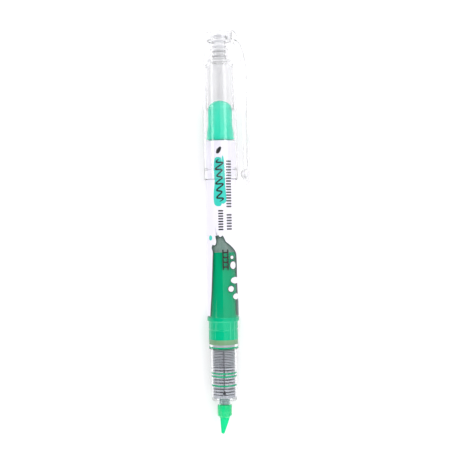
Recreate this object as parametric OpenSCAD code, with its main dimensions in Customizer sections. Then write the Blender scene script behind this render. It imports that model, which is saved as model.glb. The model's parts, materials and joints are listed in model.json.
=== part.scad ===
// Liquid-ink highlighter with its clear cap posted on the tail.
// It lies on its side: nib toward -Y, tail toward +Y, clip toward +X, standing surface at z = 0.
// The origin is on that surface, under the middle of the outer box.
// Pieces are drawn upright first, with the nib's tip at height 0 and the tail above it.

/* [Nib] */
// Diameter of the fibre nib
nib_d = 3.6; // [2.8:0.1:4.4]
// Length of nib that stands out of its holder
nib_out = 6.1; // [4.5:0.1:9]
// Width of the writing edge
nib_edge = 1.1; // [0.6:0.1:1.6]
// Slope of the steep side of the chisel, from the nib's axis
steep_angle = 4; // [2:1:8]
// Slope of the long face of the chisel, from the nib's axis
face_angle = 21; // [16:1:26]
// Slant of the writing edge across the nib
edge_slant = 14; // [5:1:25]

/* [Nib holder] */
// Wall of the clear tube round the nib
holder_wall = 0.9; // [0.6:0.05:1.3]
// Length of that tube
holder_len = 4.6; // [3:0.1:8]
// Wall of the thin neck behind the tube
neck_wall = 0.35; // [0.25:0.05:0.6]
// Length of neck that shows between the tube and the housing
neck_len = 1.8; // [1:0.1:4]

/* [Feeder] */
// Diameter of the solid core of the comb
core_d = 4.4; // [3.4:0.1:5.2]
// Diameter of the wick in the core
wick_d = 1.7; // [1.2:0.1:2.2]
// Thickness of the plate at the front of the comb
front_plate = 1.2; // [0.8:0.1:2]
// Length of bare core between the front plate and the comb
window_len = 1.5; // [1:0.1:3]
// Distance from one coarse fin to the next
coarse_pitch = 1.14; // [0.9:0.02:1.4]
// Thickness of a coarse fin
coarse_fin = 0.6; // [0.4:0.05:0.8]
// Number of coarse fins
coarse_count = 8; // [4:1:12]
// Coarse fins in front of the slot, cut only by the window over the wick
lead_fins = 1; // [0:1:1]
// Distance from one fine fin to the next
fine_pitch = 0.6; // [0.45:0.05:0.8]
// Thickness of a fine fin
fine_fin = 0.3; // [0.2:0.05:0.4]
// Number of fine fins
fine_count = 11; // [4:1:12]
// Width of the ink slot along the comb
slot_w = 1.2; // [0.8:0.1:1.6]
// Depth of that slot in the core
slot_depth = 0.3; // [0.1:0.05:0.6]
// Gap between the fins and the housing
fin_gap = 0.08; // [0.04:0.01:0.15]
// Outer diameter of the tube that stands up into the ink
riser_od = 5.9; // [5.2:0.1:6.5]
// Bore of that tube
riser_bore = 4.3; // [3:0.1:4.8]
// Length of that tube
riser_len = 8.7; // [5:0.1:14]

/* [Grip section] */
// Length of the slim housing round the comb
slim_len = 20.8; // [20.2:0.1:26]
// How much the slim housing narrows toward the nib, on the diameter
slim_taper = 0.4; // [0:0.05:0.8]
// Wall of the slim housing at its front
slim_wall = 0.4; // [0.35:0.05:0.8]
// Thickness of the front wall round the neck
nose_wall = 1; // [0.6:0.1:1.6]
// Height of the step from the slim housing up to the cap seat
slim_step = 0.6; // [0.4:0.05:1]
// Length of the cap seat in front of the tank seal
seat_lead = 1.7; // [0.5:0.1:4]
// Length of the cap seat behind the front of the tank seal
seat_len = 8.8; // [6:0.1:14]
// Wall of the cap seat
seat_wall = 0.7; // [0.5:0.05:0.9]
// Width of the snap groove in the cap seat
groove_w = 0.6; // [0.4:0.1:1]
// Depth of the snap groove
groove_depth = 0.25; // [0.2:0.05:0.35]
// Distance from the front of the tank seal to the groove
groove_from_seal = 5.4; // [3:0.1:6]
// Length of the flange that stops the cap
flange_len = 1.5; // [1:0.1:3]
// Height of the flange above the barrel
flange_lip = 0.2; // [0.1:0.05:0.5]

/* [Tank seal] */
// Thickness of the seal in the slim housing
seal_plug = 0.9; // [0.5:0.1:1.5]
// Thickness of the wide part of the seal
seal_rim = 1; // [0.6:0.1:1.6]

/* [Barrel] */
// Outer diameter of the barrel next to the flange
barrel_od = 11.6; // [9.7:0.1:14]
// Length of the barrel behind the flange
barrel_len = 65.9; // [54:0.1:80]
// How much the barrel narrows toward the tail, on the diameter
barrel_taper = 0.7; // [0.3:0.05:1]
// Wall of the barrel
barrel_wall = 0.8; // [0.6:0.05:1]
// Height of the step from the barrel down to the cap seat
seat_step = 0.3; // [0.2:0.05:0.5]
// Length of the barrel's spigot in the cap seat
spigot_len = 7.4; // [4:0.1:7.6]
// Wall of the spigot
spigot_wall = 0.6; // [0.4:0.05:0.8]
// Height of the ink above the flange
ink_level = 24.1; // [8:0.1:50]

/* [Label] */
// Thickness of the film sleeve
film_t = 0.06; // [0.03:0.01:0.08]
// Bare barrel left at each end of the film
film_margin = 0.5; // [0.2:0.1:2]
// Length of the ink window in the film
window_h = 30.6; // [15:0.1:45]
// Start of the window round the barrel, from straight up, toward the clip
window_from = -48; // [-80:1:-20]
// End of the window round the barrel
window_to = 125; // [60:1:160]

/* [Tail plug] */
// Length of the plug's skirt inside the barrel
skirt_len = 4; // [3:0.1:8]
// Height of the bead that covers the end of the barrel
bead_h = 0.8; // [0.5:0.1:1.5]
// How far the bead stays inside the barrel's outline
bead_inset = 0.2; // [0.1:0.05:0.4]
// Length of the flared foot above the bead
flare_len = 5.6; // [2:0.1:8]
// Share of the foot that stays straight before it narrows
flare_hold = 0.2; // [0:0.05:0.5]
// Length of the straight part
plug_len = 5; // [3:0.1:10]
// Height of the domed end
plug_dome = 3.5; // [2:0.1:4.5]
// Wall of the hollow plug
plug_wall = 1.2; // [0.8:0.1:1.6]

/* [Cap] */
// Length of the cap from its mouth to the top of the dome
cap_len = 58.5; // [54:0.1:70]
// Gap between the cap's bore and the cap seat
cap_gap = 0.2; // [0.15:0.05:0.3]
// Wall of the cap's tube
cap_wall = 0.525; // [0.4:0.025:0.8]
// Distance from the mouth to the snap bead in the bore
snap_from_mouth = 3.9; // [3:0.1:5]
// Width of that bead
snap_w = 0.8; // [0.5:0.1:1.2]
// Clearance between that bead and the barrel's film
snap_gap = 0.03; // [0.02:0.01:0.08]
// Length of the stretch where the cap narrows toward its crown
taper_len = 16.5; // [10:0.1:17]
// How much the cap narrows there, on the diameter
cap_taper = 2.6; // [1:0.1:2.8]
// Height of the domed crown
crown_h = 3.4; // [2:0.1:4.5]
// Radius of the flat spot in the middle of the crown
crown_flat = 1.5; // [0.5:0.1:3]
// Length of the crown's skirt in the tube
crown_skirt = 3.3; // [2:0.1:5]
// Wall of that skirt
crown_wall = 0.7; // [0.5:0.05:1]

/* [Inner cap] */
// Distance from the cap's mouth to the rim of the inner cap
rim_depth = 26.2; // [22:0.1:28]
// Length of the inner cap from its rim to its closed end
inner_len = 18.6; // [18:0.1:20]
// Wall of the inner cap
inner_wall = 0.5; // [0.35:0.05:0.6]
// Thickness of its closed end
inner_floor = 1; // [0.6:0.1:1.4]
// Height of the bevel round its closed end
inner_bevel = 2; // [1.6:0.1:3]
// Gap between the inner cap's rim and the tail plug
plug_gap = 0.2; // [0.15:0.05:0.4]
// Outer diameter of the ribs on the crown's stem
stem_rib_d = 5.05; // [4:0.05:6]
// Depth of the grooves between the ribs
stem_groove = 0.3; // [0.2:0.05:0.5]
// Distance from one rib to the next
stem_pitch = 1.8; // [1.4:0.1:2.2]
// Thickness of a rib
stem_rib = 0.9; // [0.6:0.1:1.2]
// Length of the inner cap's socket round the stem
socket_len = 4.1; // [3:0.1:6]
// Wall of that socket
socket_wall = 0.6; // [0.4:0.05:0.9]
// Running clearance of the stem in its socket, on the radius
stem_gap = 0.025; // [0.02:0.005:0.08]
// Clearance under the end of the stem
stem_end_gap = 0.1; // [0.05:0.05:0.3]

/* [Clip] */
// Free gap between the cap and the clip
clip_gap = 3.7; // [3:0.1:5]
// Thickness of the clip
clip_t = 1.15; // [0.8:0.05:1.6]
// Width of the clip at its root
clip_w = 4.8; // [4:0.1:6]
// Width of the clip at its free end
clip_end_w = 4.2; // [3.4:0.1:4.8]
// Length of the free arm
arm_len = 40.9; // [34:0.1:50]
// Height of the shoulder that carries the arm, below the crown
shoulder_h = 15.9; // [13:0.1:19]
// Depth of the foot near the end of the arm
foot_depth = 1.3; // [0.8:0.1:2]
// Length of the foot along the arm
foot_len = 4; // [2.5:0.1:6]
// Distance from the foot to the end of the arm
foot_from_end = 2; // [1:0.1:4]

/* [Hidden] */
$fn = 64;
// Overlap of a cutter past the face it cuts
past = 1;
// Length of the ink slot in front of the first fin
slot_lead = 0.15;
// Solid core left at each end of the window over the wick
window_edge = 0.1;
// Gap between the clip's shoulder and the cap's tube
shoulder_gap = 0.02;
// Clearance between the crown's skirt and the tapered tube
skirt_gap = 0.02;
// Points along a curved stretch of an outline
curve_steps = 8;

// Diameters, worked inward and outward from the barrel
flange_od = barrel_od + 2 * flange_lip;
seat_od = barrel_od - 2 * seat_step;
slim_od_back = seat_od - 2 * slim_step;
slim_od_front = slim_od_back - slim_taper;
slim_bore = slim_od_front - 2 * slim_wall;
fin_od = slim_bore - 2 * fin_gap;
seat_bore = seat_od - 2 * seat_wall;
spigot_bore = seat_bore - 2 * spigot_wall;
tail_od = barrel_od - barrel_taper;
holder_od = nib_d + 2 * holder_wall;
neck_od = nib_d + 2 * neck_wall;
rim_bore = slim_od_front;
plug_od = rim_bore - 2 * plug_gap;
inner_od = rim_bore + 2 * inner_wall;
cap_bore = seat_od + 2 * cap_gap;
cap_od = cap_bore + 2 * cap_wall;
crown_od = cap_od - cap_taper;

// Heights above the nib's tip
holder_z = nib_out;
neck_z = holder_z + holder_len;
slim_z = neck_z + neck_len;
feeder_z = slim_z + nose_wall;
core_z = feeder_z + front_plate;
comb_z = core_z + window_len;
fine_z = comb_z + coarse_count * coarse_pitch;
comb_end = fine_z + fine_count * fine_pitch;
seat_z = slim_z + slim_len;
seal_top = seat_z + seal_plug + seal_rim;
riser_top = seat_z + riser_len;
flange_z = seat_z + seat_len;
barrel_z = flange_z + flange_len;
spigot_z = barrel_z - spigot_len;
tail_z = barrel_z + barrel_len;
skirt_z = tail_z - skirt_len;
flare_z = tail_z + bead_h;
plug_z = flare_z + flare_len;
dome_z = plug_z + plug_len;
ink_top = barrel_z + ink_level;

// The cap is posted until the rim of its inner cap reaches the plug's dome
rim_z = dome_z;
mouth_z = rim_z - rim_depth;
cap_end = mouth_z + cap_len;
crown_z = cap_end - crown_h;
taper_z = crown_z - taper_len;
inner_end = rim_z + inner_len;
stem_z = inner_end + stem_end_gap;
arm_top = crown_z - shoulder_h;
arm_end = arm_top - arm_len;

// The clip's inner and outer faces, measured from the axis
clip_in = cap_od / 2 + clip_gap;
clip_out = clip_in + clip_t;
// The clip is rolled down until its outer corner rests on the same surface as the cap
clip_corner = norm([clip_out, clip_w / 2]);
clip_roll = asin(cap_od / 2 / clip_corner) - atan2(clip_w / 2, clip_out);
side_reach = clip_out * cos(clip_roll) + clip_w / 2 * sin(clip_roll);

// Outer radius of the tapered barrel at a height
function barrel_r(z) = (barrel_od - barrel_taper * (z - barrel_z) / barrel_len) / 2;
// Radius of the barrel's bore at a height
function bore_r(z) = barrel_r(z) - barrel_wall;

// Outer radius of the cap's tube at a height in its tapered stretch
function tube_r(z) = (cap_od - cap_taper * (z - taper_z) / taper_len) / 2;

// Lays an upright piece on its side, along Y
module lay_down()
    translate([(cap_od / 2 - side_reach) / 2, -cap_end / 2, cap_od / 2])
        rotate([-90, 0, 0])
            children();

// A round piece turned from an outline of [radius, height] points
module turned(outline)
    lay_down()
        rotate_extrude()
            polygon(outline);

// A straight ring or tube
module ring(od, bore, z, h)
    translate([0, 0, z])
        difference() {
            cylinder(d = od, h = h);
            translate([0, 0, -past]) cylinder(d = bore, h = h + 2 * past);
        }

module nib() {
    tip_x = -nib_d / 2 + nib_out * tan(steep_angle);
    back_z = core_z;
    chisel = [
        [tip_x, 0],
        [tip_x + nib_edge, 0],
        [tip_x + nib_edge + nib_out * tan(face_angle), nib_out],
        [nib_d, nib_out],
        [nib_d, back_z],
        [-nib_d, back_z],
        [-nib_d, nib_out],
        [tip_x - nib_out * tan(steep_angle), nib_out]
    ];
    color([0.08, 0.85, 0.45])
        lay_down()
            intersection() {
                cylinder(d = nib_d, h = back_z);
                rotate([90, 0, 0])
                    linear_extrude(nib_d + 2 * past, center = true)
                        polygon(chisel);
                // The slanted cut that forms the writing edge
                translate([0, -nib_d / 2, 0])
                    rotate([edge_slant, 0, 0])
                        translate([-nib_d, -nib_d, 0])
                            cube([2 * nib_d, 4 * nib_d, 2 * back_z]);
            }
}

module nib_holder()
    color([0.65, 0.92, 0.78, 0.6])
        turned([
            [nib_d / 2, holder_z],
            [holder_od / 2 - 0.3, holder_z],
            [holder_od / 2, holder_z + 0.3],
            [holder_od / 2, neck_z],
            [neck_od / 2, neck_z],
            [neck_od / 2, core_z],
            [nib_d / 2, core_z]
        ]);

module feeder_fin(z, t)
    ring(fin_od, core_d - 0.2, z, t);

module feeder()
    color([0.55, 0.57, 0.58])
        lay_down()
            difference() {
                union() {
                    translate([0, 0, feeder_z]) cylinder(d = fin_od, h = front_plate);
                    translate([0, 0, core_z]) cylinder(d = core_d, h = comb_end - core_z + past);
                    for (i = [-lead_fins:coarse_count - 1])
                        feeder_fin(comb_z + i * coarse_pitch, coarse_fin);
                    for (i = [0:fine_count - 1])
                        feeder_fin(fine_z + i * fine_pitch, fine_fin);
                    // The plate under the tank
                    translate([0, 0, comb_end + past - 0.4])
                        cylinder(d = fin_od, h = seat_z - comb_end - past + 0.4);
                    translate([0, 0, seat_z]) cylinder(d = riser_od, h = riser_len);
                }
                // Seat for the holder's neck
                translate([0, 0, feeder_z - past]) cylinder(d = neck_od, h = front_plate + past);
                translate([0, 0, feeder_z]) cylinder(d = wick_d, h = seat_z - feeder_z + past);
                translate([0, 0, seat_z]) cylinder(d = riser_bore, h = riser_len + past);
                // Ink slot along the top of the comb
                translate([-slot_w / 2, -fin_od, comb_z - slot_lead])
                    cube([slot_w, fin_od - core_d / 2 + slot_depth, comb_end - comb_z]);
                // Window over the wick
                translate([-slot_w / 2, -fin_od, core_z + window_edge])
                    cube([slot_w, fin_od - wick_d / 4, window_len - slot_lead - 2 * window_edge]);
            }

module feed_wick()
    color([0.12, 0.62, 0.38])
        lay_down()
            translate([0, 0, core_z])
                cylinder(d = wick_d, h = riser_top - 2 - core_z);

// Ink held between the fins of the comb
module ink_rings()
    color([0.02, 0.6, 0.4])
        lay_down() {
            for (i = [1, 4, 5])
                ink_ring(comb_z + i * coarse_pitch + coarse_fin, coarse_pitch - coarse_fin);
            ink_ring(comb_end, past - 0.4);
        }

module ink_ring(z, t)
    difference() {
        ring(slim_bore, core_d, z, t);
        translate([-slot_w / 2, -slim_bore, z - past])
            cube([slot_w, slim_bore, t + 2 * past]);
    }

module section() {
    groove_z = seat_z + groove_from_seal;
    front_z = seat_z - seat_lead;
    color([0.93, 0.96, 0.97, 0.4])
        turned([
            [neck_od / 2, slim_z],
            [slim_od_front / 2 - 0.4, slim_z],
            [slim_od_front / 2, slim_z + 0.4],
            [slim_od_back / 2, front_z],
            [seat_od / 2 - 0.3, front_z],
            [seat_od / 2, front_z + 0.3],
            [seat_od / 2, groove_z],
            [seat_od / 2 - groove_depth, groove_z],
            [seat_od / 2 - groove_depth, groove_z + groove_w],
            [seat_od / 2, groove_z + groove_w],
            [seat_od / 2, flange_z],
            [flange_od / 2, flange_z],
            [flange_od / 2, barrel_z],
            [seat_bore / 2, barrel_z],
            [seat_bore / 2, seat_z + seal_plug],
            [slim_bore / 2, seat_z + seal_plug],
            [slim_bore / 2, feeder_z],
            [neck_od / 2, feeder_z]
        ]);
}

module tank_seal()
    color([0.66, 0.62, 0.45])
        turned([
            [riser_od / 2, seat_z],
            [slim_bore / 2, seat_z],
            [slim_bore / 2, seat_z + seal_plug],
            [seat_bore / 2, seat_z + seal_plug],
            [seat_bore / 2, seal_top],
            [riser_od / 2, seal_top]
        ]);

module barrel()
    color([0.9, 0.95, 0.95, 0.4])
        turned([
            [spigot_bore / 2, spigot_z],
            [seat_bore / 2, spigot_z],
            [seat_bore / 2, barrel_z],
            [barrel_r(barrel_z), barrel_z],
            [barrel_r(tail_z), tail_z],
            [bore_r(tail_z), tail_z],
            [bore_r(barrel_z + barrel_wall), barrel_z + barrel_wall],
            [spigot_bore / 2, barrel_z + barrel_wall]
        ]);

module ink() {
    wick_top = riser_top - 2;
    color([0, 0.66, 0.46])
        turned([
            [0, wick_top],
            [wick_d / 2, wick_top],
            [wick_d / 2, seat_z],
            [riser_bore / 2, seat_z],
            [riser_bore / 2, riser_top],
            [riser_od / 2, riser_top],
            [riser_od / 2, seal_top],
            [seat_bore / 2, seal_top],
            [seat_bore / 2, spigot_z],
            [spigot_bore / 2, spigot_z],
            [spigot_bore / 2, barrel_z + barrel_wall],
            [bore_r(barrel_z + barrel_wall), barrel_z + barrel_wall],
            [bore_r(ink_top), ink_top],
            [0, ink_top]
        ]);
}

// The film is a printed sleeve with a window over the ink
module label_film() {
    low = barrel_z + film_margin;
    high = tail_z - film_margin;
    far = 3 * barrel_od;
    window = [
        [0, 0],
        for (i = [0:curve_steps])
            let (a = window_from + (window_to - window_from) * i / curve_steps)
                [far * sin(a), -far * cos(a)]
    ];
    color([0.97, 0.96, 0.99])
        lay_down()
            difference() {
                rotate_extrude()
                    polygon([
                        [barrel_r(low), low],
                        [barrel_r(low) + film_t, low],
                        [barrel_r(high) + film_t, high],
                        [barrel_r(high), high]
                    ]);
                translate([0, 0, low - past])
                    linear_extrude(window_h + past)
                        polygon(window);
            }
}

module tail_plug() {
    bead_r = tail_od / 2 - bead_inset;
    hollow_r = plug_od / 2 - plug_wall;
    color([0.62, 0.9, 0.76])
        turned([
            [hollow_r, skirt_z],
            [bore_r(skirt_z), skirt_z],
            [bore_r(tail_z), tail_z],
            [bead_r, tail_z],
            [bead_r, flare_z],
            [bead_r - bead_inset, flare_z],
            // The foot eases from the bead down to the straight part
            for (i = [0:curve_steps])
                let (t = i / curve_steps)
                    [
                        plug_od / 2 + (bead_r - bead_inset - plug_od / 2) * (1 + cos(180 * t)) / 2,
                        flare_z + flare_len * (flare_hold + (1 - flare_hold) * t)
                    ],
            for (i = [0:curve_steps - 1])
                let (a = 90 * i / curve_steps)
                    [plug_od / 2 * cos(a), dome_z + plug_dome * sin(a)],
            [0, dome_z + plug_dome],
            [0, dome_z],
            [hollow_r, dome_z]
        ]);
}

module inner_cap() {
    socket_r = stem_rib_d / 2 + stem_gap;
    color([0.9, 0.94, 0.94, 0.6])
        turned([
            [rim_bore / 2, rim_z],
            [inner_od / 2, rim_z],
            [inner_od / 2, inner_end - inner_bevel],
            [inner_od / 2 - inner_bevel / 2, inner_end],
            [socket_r + socket_wall, inner_end],
            [socket_r + socket_wall, inner_end + socket_len],
            [socket_r, inner_end + socket_len],
            [socket_r, inner_end],
            [0, inner_end],
            [0, inner_end - inner_floor],
            [rim_bore / 2 - inner_bevel / 2, inner_end - inner_floor],
            [rim_bore / 2, inner_end - inner_floor - inner_bevel]
        ]);
}

module cap_tube() {
    snap_z = mouth_z + snap_from_mouth;
    snap_r = barrel_r(snap_z - snap_w / 2) + film_t + snap_gap;
    color([0.95, 0.97, 0.98, 0.3])
        turned([
            [cap_bore / 2 + 0.15, mouth_z],
            [cap_od / 2 - 0.15, mouth_z],
            [cap_od / 2, mouth_z + 0.2],
            [cap_od / 2, taper_z],
            [crown_od / 2, crown_z],
            [crown_od / 2 - cap_wall, crown_z],
            [cap_bore / 2, taper_z],
            [cap_bore / 2, snap_z + snap_w / 2],
            [snap_r, snap_z + snap_w / 4],
            [snap_r, snap_z - snap_w / 4],
            [cap_bore / 2, snap_z - snap_w / 2],
            [cap_bore / 2, mouth_z + 0.3]
        ]);
}

// Side outline of the shoulder, as [distance from the axis, height].
// The lists run from the arm to the crown, as shares of the clip's reach and of the shoulder's height.
function shoulder_outline() = let (
    crown_r = crown_od / 2,
    outer = [
        [1, 0], [0.975, 0.29], [0.91, 0.45], [0.845, 0.615], [0.73, 0.715],
        [0.585, 0.825], [0.485, 0.935], [0.32, 1.025], [0.145, 1.095]
    ],
    inner = [
        [0.255, 0.825], [0.435, 0.75], [0.595, 0.65],
        [0.74, 0.56], [0.88, 0.435], [0.96, 0.275], [1, 0]
    ]
) [
    for (p = outer) [crown_r + (clip_out - crown_r) * p[0], arm_top + shoulder_h * p[1]],
    [crown_r * 0.75, crown_z + crown_h * 0.6],
    [crown_r * 0.75, arm_top + shoulder_h * 0.86],
    for (p = inner) [crown_r + (clip_in - crown_r) * p[0], arm_top + shoulder_h * p[1]]
];

module crown_stem() {
    root_d = stem_rib_d - 2 * stem_groove;
    translate([0, 0, stem_z]) cylinder(d = root_d, h = crown_z + crown_h / 2 - stem_z);
    for (i = [0:4])
        translate([0, 0, stem_z + 0.6 + i * stem_pitch])
            cylinder(d = stem_rib_d, h = stem_rib);
}

module clip_crown() {
    crown_r = crown_od / 2;
    crown_bore_r = crown_r - cap_wall;
    skirt_r = tube_r(crown_z - crown_skirt) - cap_wall - skirt_gap;
    cut_from = crown_z - taper_len / 2;
    color([0.95, 0.97, 0.98, 0.5])
        lay_down() {
            rotate_extrude()
                polygon([
                    [0, crown_z],
                    [crown_bore_r - crown_wall, crown_z],
                    [crown_bore_r - crown_wall, crown_z - crown_skirt],
                    [skirt_r, crown_z - crown_skirt],
                    [crown_bore_r - skirt_gap, crown_z],
                    // The dome curves from the tube's edge to the flat spot
                    for (i = [0:curve_steps])
                        let (a = 90 * i / curve_steps)
                            [
                                crown_flat + (crown_r - crown_flat) * cos(a),
                                crown_z + crown_h * sin(a)
                            ],
                    [0, cap_end]
                ]);
            crown_stem();
            rotate([0, 0, clip_roll])
                difference() {
                    rotate([90, 0, 0])
                        linear_extrude(clip_w, center = true)
                            polygon(shoulder_outline());
                    translate([0, 0, cut_from])
                        cylinder(
                            r1 = tube_r(cut_from) + shoulder_gap,
                            r2 = crown_r + shoulder_gap,
                            h = crown_z - cut_from
                        );
                }
        }
}

module clip_arm() {
    foot_z = arm_end + foot_from_end;
    side = [
        [clip_in, arm_top],
        [clip_in, foot_z + foot_len],
        [clip_in - foot_depth, foot_z + foot_len * 0.6],
        [clip_in - foot_depth, foot_z + foot_len * 0.4],
        [clip_in, foot_z],
        [clip_in + 0.3, arm_end],
        [clip_out, arm_end],
        [clip_out, arm_top]
    ];
    end_r = clip_end_w / 2;
    front = [
        [clip_w / 2, arm_top],
        for (i = [0:2 * curve_steps])
            let (a = 180 * i / (2 * curve_steps))
                [end_r * cos(a), arm_end + end_r - end_r * sin(a)],
        [-clip_w / 2, arm_top]
    ];
    color([0.95, 0.97, 0.98, 0.5])
        lay_down()
            rotate([0, 0, clip_roll])
                intersection() {
                    rotate([90, 0, 0])
                        linear_extrude(clip_w + 2 * past, center = true)
                            polygon(side);
                    rotate([90, 0, 90])
                        linear_extrude(clip_out + past)
                            polygon(front);
                }
}

nib();
nib_holder();
feeder();
feed_wick();
ink_rings();
section();
tank_seal();
barrel();
ink();
label_film();
tail_plug();
inner_cap();
cap_tube();
clip_crown();
clip_arm();
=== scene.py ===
import json
import math

import bmesh
import bpy
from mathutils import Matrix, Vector


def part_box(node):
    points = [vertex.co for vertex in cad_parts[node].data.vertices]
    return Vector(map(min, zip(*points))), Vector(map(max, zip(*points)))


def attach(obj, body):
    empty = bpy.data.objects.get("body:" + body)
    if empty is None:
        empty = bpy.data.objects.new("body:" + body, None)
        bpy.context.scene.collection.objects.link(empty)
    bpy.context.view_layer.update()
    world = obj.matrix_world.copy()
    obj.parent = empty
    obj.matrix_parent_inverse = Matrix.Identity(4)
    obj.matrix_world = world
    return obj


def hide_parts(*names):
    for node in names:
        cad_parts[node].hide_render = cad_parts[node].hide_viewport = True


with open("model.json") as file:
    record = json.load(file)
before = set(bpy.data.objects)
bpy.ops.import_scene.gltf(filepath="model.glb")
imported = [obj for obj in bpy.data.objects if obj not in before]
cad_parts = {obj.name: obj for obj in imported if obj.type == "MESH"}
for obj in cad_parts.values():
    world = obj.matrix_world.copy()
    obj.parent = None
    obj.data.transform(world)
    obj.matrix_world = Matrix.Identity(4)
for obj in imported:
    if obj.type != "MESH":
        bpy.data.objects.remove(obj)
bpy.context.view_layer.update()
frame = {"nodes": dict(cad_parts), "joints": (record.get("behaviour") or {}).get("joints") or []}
mm = 0.001

# the pen's own frame: heights run from the nib's tip to the tail,
# angles run from straight up toward the clip's side
tubeLow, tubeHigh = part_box("cap_tube")
axisX = (tubeLow.x + tubeHigh.x) / 2
axisZ = (tubeLow.z + tubeHigh.z) / 2
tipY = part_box("nib")[0].y


def span(node):
    low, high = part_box(node)
    return (low.y - tipY) / mm, (high.y - tipY) / mm


def place(radius, angle, height):
    return Vector((
        axisX + radius * math.sin(angle) * mm,
        tipY + height * mm,
        axisZ + radius * math.cos(angle) * mm,
    ))


def mix(a, b, share):
    return a + (b - a) * share


joints = {joint["name"]: joint for joint in frame["joints"]}
flexAxis = joints["clip_flex"]["axis"]
clipRoll = math.atan2(flexAxis[0], flexAxis[2])


def placeClip(out, side, height):
    # out runs from the pen's axis through the middle of the clip
    return Vector((
        axisX + (out * math.cos(clipRoll) + side * math.sin(clipRoll)) * mm,
        tipY + height * mm,
        axisZ + (side * math.cos(clipRoll) - out * math.sin(clipRoll)) * mm,
    ))


holderFront, holderBack = span("nib_holder")
housingFront, flangeBack = span("section")
feederFront, riserEnd = span("feeder")
sealFront, sealBack = span("tank_seal")
spigotFront, barrelBack = span("barrel")
inkTop = span("ink")[1]
filmFront, filmBack = span("label_film")
plugFront, plugBack = span("tail_plug")
rimFront, socketBack = span("inner_cap")
capMouth, tubeBack = span("cap_tube")
crownBack = span("clip_crown")[1]
armFront, armBack = span("clip_arm")
print("frame read, pen is %.1f mm long" % crownBack)


# shared shader effects
def newGroup(name, inputs, outputs):
    group = bpy.data.node_groups.new(name, "ShaderNodeTree")
    for label, kind, value in inputs:
        socket = group.interface.new_socket(label, in_out="INPUT", socket_type="NodeSocket" + kind)
        socket.default_value = value
    for label, kind in outputs:
        group.interface.new_socket(label, in_out="OUTPUT", socket_type="NodeSocket" + kind)
    return group, group.nodes.new("NodeGroupInput"), group.nodes.new("NodeGroupOutput")


def addNode(tree, kind, values=None, **settings):
    node = tree.nodes.new("ShaderNode" + kind)
    for key, value in settings.items():
        setattr(node, key, value)
    for key, value in (values or {}).items():
        node.inputs[key].default_value = value
    return node


def link(tree, source, target):
    tree.links.new(source, target)


def millimetres(tree, stretch=(1, 1, 1)):
    # object coordinates in mm, divided by stretch along each axis
    where = addNode(tree, "TexCoord")
    scaled = addNode(tree, "VectorMath", operation="MULTIPLY")
    scaled.inputs[1].default_value = [1 / mm / s for s in stretch]
    link(tree, where.outputs["Object"], scaled.inputs[0])
    return scaled.outputs[0]


def noiseIn(tree, vector, scale, detail=2.0, roughness=0.5):
    noise = addNode(tree, "TexNoise", {"Detail": detail, "Roughness": roughness})
    link(tree, vector, noise.inputs["Vector"])
    if isinstance(scale, (int, float)):
        noise.inputs["Scale"].default_value = scale
    else:
        link(tree, scale, noise.inputs["Scale"])
    return noise.outputs["Fac"]


def mathNode(tree, operation, a, b):
    node = addNode(tree, "Math", operation=operation)
    for socket, value in zip(node.inputs, (a, b)):
        if isinstance(value, (int, float)):
            socket.default_value = value
        else:
            link(tree, value, socket)
    return node.outputs[0]


def rangeNode(tree, value, low, high, toLow=0.0, toHigh=1.0):
    node = addNode(tree, "MapRange", {
        "From Min": low, "From Max": high, "To Min": toLow, "To Max": toHigh,
    })
    link(tree, value, node.inputs["Value"])
    return node.outputs["Result"]


def buildMoulded():
    # soft waviness of moulded plastic, with handling scratches that mostly run along the pen
    group, given, out = newGroup(
        "mouldedSurface",
        [("Roughness", "Float", 0.1), ("Wear", "Float", 0.3), ("Wave Size", "Float", 4.0)],
        [("Roughness", "Float"), ("Height", "Float"), ("Scratches", "Float")],
    )
    plain = millimetres(group)
    perMm = mathNode(group, "DIVIDE", 1.0, given.outputs["Wave Size"])
    wave = noiseIn(group, plain, perMm, 1.0)
    along = noiseIn(group, millimetres(group, (0.22, 6, 0.22)), 1.0, 3.0, 0.6)
    across = noiseIn(group, millimetres(group, (2.5, 0.3, 2.5)), 1.0, 3.0, 0.6)
    lines = mathNode(
        group, "MAXIMUM",
        rangeNode(group, along, 0.66, 0.74),
        rangeNode(group, across, 0.7, 0.78),
    )
    scratches = mathNode(group, "MULTIPLY", lines, given.outputs["Wear"])
    smudge = rangeNode(group, noiseIn(group, plain, 0.35, 3.0), 0.45, 0.7)
    rougher = mathNode(group, "MULTIPLY", smudge, mathNode(group, "MULTIPLY", given.outputs["Wear"], 0.08))
    rough = mathNode(group, "ADD", given.outputs["Roughness"], rougher)
    rough = mathNode(group, "ADD", rough, mathNode(group, "MULTIPLY", scratches, 0.25))
    height = mathNode(group, "SUBTRACT", wave, mathNode(group, "MULTIPLY", scratches, 0.15))
    link(group, rough, out.inputs["Roughness"])
    link(group, height, out.inputs["Height"])
    link(group, scratches, out.inputs["Scratches"])
    return group


def buildDrift():
    # one colour drifting into another in soft clouds
    group, given, out = newGroup(
        "colourDrift",
        [("Color", "Color", (1, 1, 1, 1)), ("Second", "Color", (0, 0, 0, 1)), ("Size", "Float", 3.0),
         ("Amount", "Float", 0.5)],
        [("Color", "Color"), ("Mask", "Float")],
    )
    perMm = mathNode(group, "DIVIDE", 1.0, given.outputs["Size"])
    cloud = rangeNode(group, noiseIn(group, millimetres(group, (1, 2, 1)), perMm, 4.0), 0.3, 0.7)
    share = mathNode(group, "MULTIPLY", cloud, given.outputs["Amount"])
    blend = addNode(group, "Mix", data_type="RGBA")
    link(group, share, blend.inputs["Factor"])
    link(group, given.outputs["Color"], blend.inputs[6])
    link(group, given.outputs["Second"], blend.inputs[7])
    link(group, blend.outputs[2], out.inputs["Color"])
    link(group, share, out.inputs["Mask"])
    return group


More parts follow.
